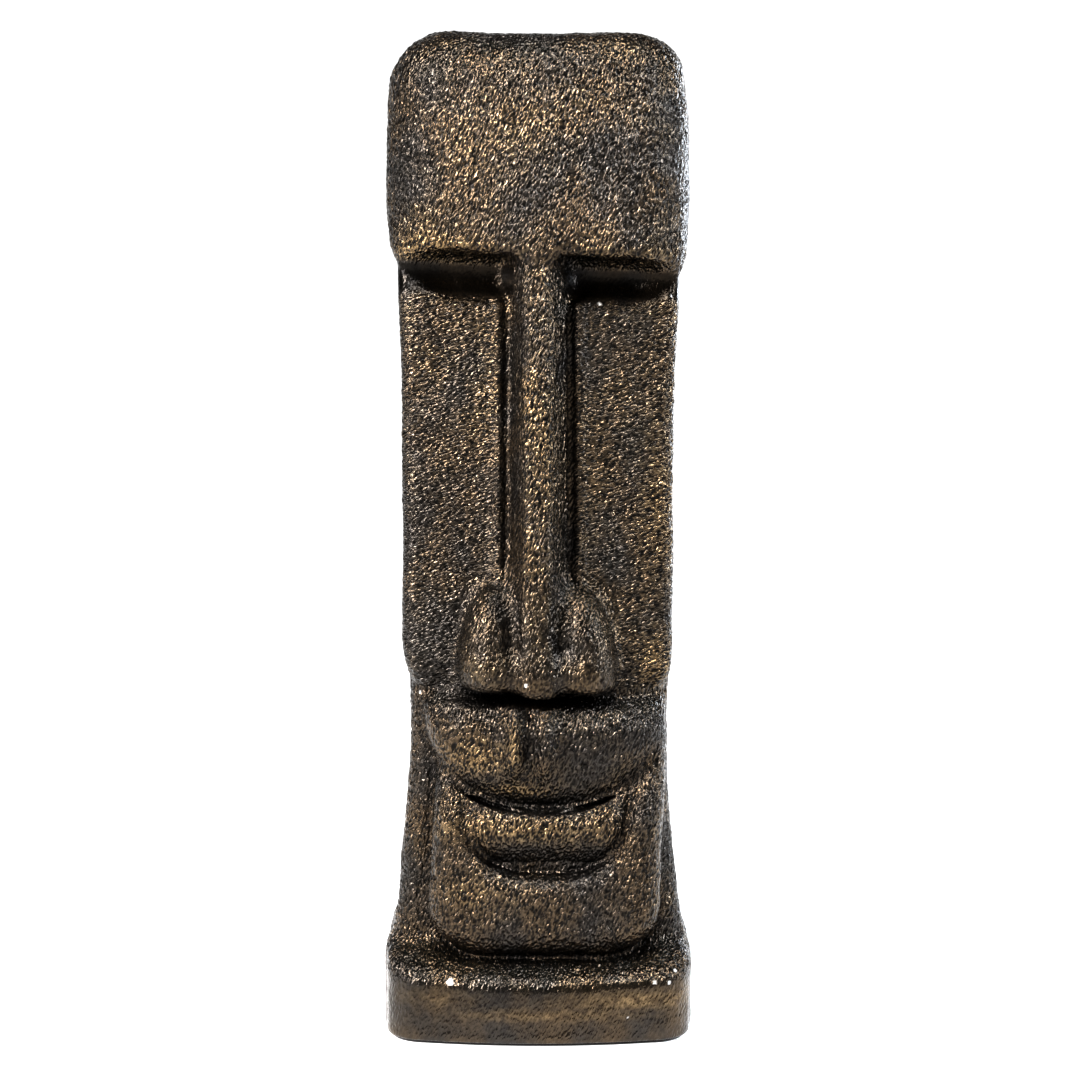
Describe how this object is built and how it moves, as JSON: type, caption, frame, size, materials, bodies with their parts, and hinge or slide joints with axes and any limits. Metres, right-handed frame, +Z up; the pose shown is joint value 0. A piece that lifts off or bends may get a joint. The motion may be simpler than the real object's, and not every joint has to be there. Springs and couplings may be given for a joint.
{
  "type": "tiki figure",
  "caption": "Tall standing tiki head with block forehead, long nose and smiling mouth; hollow cast shells on a square base, painted as dark carved wood.",
  "frame": {"origin": "centre of the felt's underside, on the floor", "axes": "+Z up, the face looks along -Y, +X to a viewer's right"},
  "size_m": [0.231, 0.1999, 0.7603],
  "materials": {
    "casting": "cast stone painted near-black brown, rubbed with bronze on the high spots, satin",
    "dowel": "bare beech",
    "steel": "plain drawn steel",
    "scrim": "open jute weave set in casting mix",
    "plywood": "bare plywood",
    "softwood": "sawn softwood",
    "felt": "black felt"
  },
  "bodies": {
    "root": {"front_shell": "casting", "back_shell": "casting", "seam_pins": "dowel", "seam_strip_left": "scrim", "seam_strip_right": "scrim", "seam_strip_crown": "scrim", "reinforcing_bar_left": "steel", "reinforcing_bar_right": "steel", "base_board": "plywood", "corner_block_front_left": "softwood", "corner_block_front_right": "softwood", "corner_block_back_left": "softwood", "corner_block_back_right": "softwood", "base_screws": "steel", "base_felt": "felt"}
  },
  "joints": []
}
